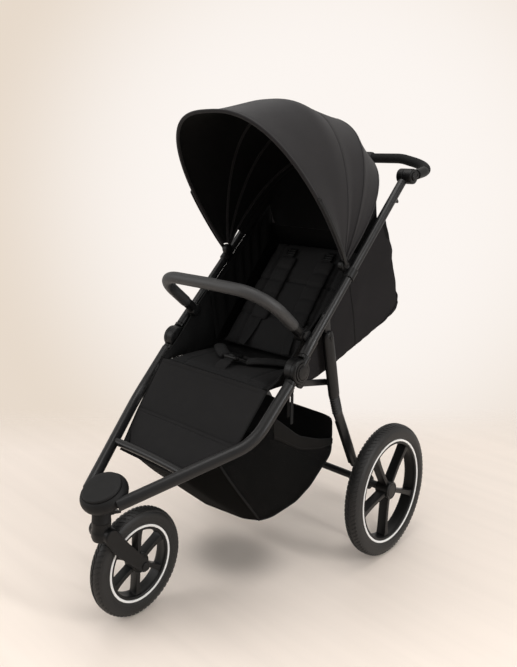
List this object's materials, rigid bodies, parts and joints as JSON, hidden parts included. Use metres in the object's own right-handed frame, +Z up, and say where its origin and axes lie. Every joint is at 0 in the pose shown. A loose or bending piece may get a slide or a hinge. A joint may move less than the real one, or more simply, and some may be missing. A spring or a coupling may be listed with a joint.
{
  "type": "pushchair",
  "caption": "Folding pushchair with a swivelling front wheel, sprung rear legs, cloth seat with harness, arched canopy, bumper bar, tilting handlebar and under-seat basket.",
  "frame": {"origin": "middle of the bounding box, on the floor under the wheels", "axes": "+X to the child's left, -Y to the front, +Z up"},
  "size_m": [0.581, 1.0918, 1.214],
  "materials": {
    "frame_black": "satin",
    "plastic_black": "satin",
    "rim_black": "satin",
    "ring_white": "gloss",
    "tyre_black": "matte",
    "bellows_rubber": "matte",
    "grip_foam": "matte",
    "cloth_black": "woven"
  },
  "bodies": {
    "lower_frame": {"lower_tube_left": "frame_black", "lower_tube_right": "frame_black", "front_head": "plastic_black", "head_cap": "plastic_black", "front_crossbar": "frame_black", "hub_housing_left": "plastic_black", "hub_housing_right": "plastic_black", "hub_webbing": "cloth_black", "calf_panel": "cloth_black", "seat_cushion": "cloth_black", "waist_belt": "cloth_black", "harness_buckle": "plastic_black", "basket": "cloth_black"},
    "lock_lever": {"swivel_lock": "plastic_black"},
    "upper_frame": {"upper_tube_left": "frame_black", "upper_tube_right": "frame_black", "hub_cover_left": "plastic_black", "hub_cover_right": "plastic_black", "handle_joint_left": "plastic_black", "handle_joint_right": "plastic_black", "canopy_clip_left": "plastic_black", "canopy_clip_right": "plastic_black", "seat_tub": "cloth_black", "canopy_back": "cloth_black"},
    "handle": {"handlebar": "grip_foam", "handle_housing": "plastic_black"},
    "trigger": {"fold_trigger": "plastic_black"},
    "button_left": {"handle_button_left": "plastic_black"},
    "button_right": {"handle_button_right": "plastic_black"},
    "bumper": {"bumper_grip": "grip_foam", "bumper_end_left": "plastic_black", "bumper_end_right": "plastic_black"},
    "canopy_front": {"canopy_visor": "cloth_black", "canopy_arm_left": "plastic_black", "canopy_arm_right": "plastic_black"},
    "canopy_mid": {"canopy_middle": "cloth_black"},
    "canopy_low": {"canopy_rear": "cloth_black"},
    "back": {"backrest": "cloth_black", "shoulder_pad_left": "cloth_black", "shoulder_pad_right": "cloth_black"},
    "legs": {"leg_sleeve_left": "plastic_black", "leg_sleeve_right": "plastic_black", "leg_bellows_left": "bellows_rubber", "leg_bellows_right": "bellows_rubber"},
    "links": {"fold_link_left": "frame_black", "fold_link_right": "frame_black"},
    "axle": {"lower_leg_left": "plastic_black", "lower_leg_right": "plastic_black", "rear_axle": "frame_black"},
    "pedal": {"brake_pedal": "plastic_black"},
    "wheel_left": {"rear_wheel_left_tyre": "tyre_black", "rear_wheel_left_rim": "rim_black", "rear_wheel_left_ring": "ring_white"},
    "wheel_right": {"rear_wheel_right_tyre": "tyre_black", "rear_wheel_right_rim": "rim_black", "rear_wheel_right_ring": "ring_white"},
    "caster": {"caster_fork": "plastic_black"},
    "wheel_front": {"front_wheel_tyre": "tyre_black", "front_wheel_rim": "rim_black", "front_wheel_ring": "ring_white"}
  },
  "joints": [
    {"name": "frame_fold", "type": "hinge", "parent": "lower_frame", "child": "upper_frame", "pos_m": [0, -0.074, 0.57], "axis": [1, 0, 0], "range_deg": [0, 130], "deforming": ["seat_tub", "calf_panel"]},
    {"name": "leg_fold", "type": "hinge", "parent": "upper_frame", "child": "legs", "pos_m": [0, 0.0472, 0.63037], "axis": [1, 0, 0], "range_deg": [-45, 1]},
    {"name": "link_fold", "type": "hinge", "parent": "lower_frame", "child": "links", "pos_m": [0, -0.0425, 0.526], "axis": [1, 0, 0], "range_deg": [-1, 115]},
    {"name": "bumper_swing", "type": "hinge", "parent": "upper_frame", "child": "bumper", "pos_m": [0, -0.0235, 0.64521], "axis": [1, 0, 0], "range_deg": [-73, 1]},
    {"name": "suspension", "type": "slide", "parent": "legs", "child": "axle", "axis": [0, -0.454, 0.891], "range_m": [0, 0.015], "stiffness_N_per_m": 8000, "springref_m": -0.01, "deforming": ["leg_bellows_left", "leg_bellows_right"]},
    {"name": "rear_left_spin", "type": "hinge", "parent": "axle", "child": "wheel_left", "pos_m": [0.27, 0.2595, 0.178], "axis": [1, 0, 0], "continuous": true},
    {"name": "rear_right_spin", "type": "hinge", "parent": "axle", "child": "wheel_right", "pos_m": [-0.27, 0.2595, 0.178], "axis": [1, 0, 0], "continuous": true},
    {"name": "brake_press", "type": "hinge", "parent": "axle", "child": "pedal", "pos_m": [0, 0.2595, 0.178], "axis": [-1, 0, 0], "range_deg": [0, 25]},
    {"name": "front_swivel", "type": "hinge", "parent": "lower_frame", "child": "caster", "pos_m": [0, -0.5005, 0.2655], "axis": [0, 0, 1], "continuous": true},
    {"name": "front_spin", "type": "hinge", "parent": "caster", "child": "wheel_front", "pos_m": [0, -0.4005, 0.128], "axis": [1, 0, 0], "continuous": true},
    {"name": "swivel_lock_flip", "type": "hinge", "parent": "lower_frame", "child": "lock_lever", "pos_m": [0, -0.4733, 0.27754], "axis": [1, 0, 0], "range_deg": [0, 25]},
    {"name": "handle_tilt", "type": "hinge", "parent": "upper_frame", "child": "handle", "pos_m": [0, 0.39633, 1.02303], "axis": [1, 0, 0], "range_deg": [-35, 35]},
    {"name": "trigger_squeeze", "type": "slide", "parent": "handle", "child": "trigger", "axis": [0, 0, 1], "range_m": [0, 0.004], "stiffness_N_per_m": 600, "springref_m": -0.002},
    {"name": "button_left_push", "type": "slide", "parent": "handle", "child": "button_left", "axis": [-1, 0, 0], "range_m": [0, 0.004], "stiffness_N_per_m": 600, "springref_m": -0.002},
    {"name": "button_right_push", "type": "slide", "parent": "handle", "child": "button_right", "axis": [1, 0, 0], "range_m": [0, 0.004], "stiffness_N_per_m": 600, "springref_m": -0.002},
    {"name": "canopy_front_fold", "type": "hinge", "parent": "upper_frame", "child": "canopy_front", "pos_m": [0, 0.127, 0.80293], "axis": [-1, 0, 0], "range_deg": [0, 68], "deforming": ["canopy_visor"]},
    {"name": "canopy_mid_fold", "type": "hinge", "parent": "upper_frame", "child": "canopy_mid", "pos_m": [0, 0.127, 0.80293], "axis": [-1, 0, 0], "range_deg": [-1, 36], "deforming": ["canopy_middle"]},
    {"name": "canopy_rear_fold", "type": "hinge", "parent": "upper_frame", "child": "canopy_low", "pos_m": [0, 0.127, 0.80293], "axis": [-1, 0, 0], "range_deg": [-1, 16], "deforming": ["canopy_rear"]},
    {"name": "back_recline", "type": "hinge", "parent": "upper_frame", "child": "back", "pos_m": [0, 0.0455, 0.536], "axis": [-1, 0, 0], "range_deg": [0, 12]}
  ],
  "couplings": [
    {"joint": "leg_fold", "follows": "frame_fold", "ratio": -0.3394},
    {"joint": "link_fold", "follows": "frame_fold", "ratio": 0.8778},
    {"joint": "bumper_swing", "follows": "frame_fold", "ratio": -0.5538},
    {"joint": "canopy_mid_fold", "follows": "canopy_front_fold", "ratio": 0.5},
    {"joint": "canopy_rear_fold", "follows": "canopy_front_fold", "ratio": 0.22}
  ]
}
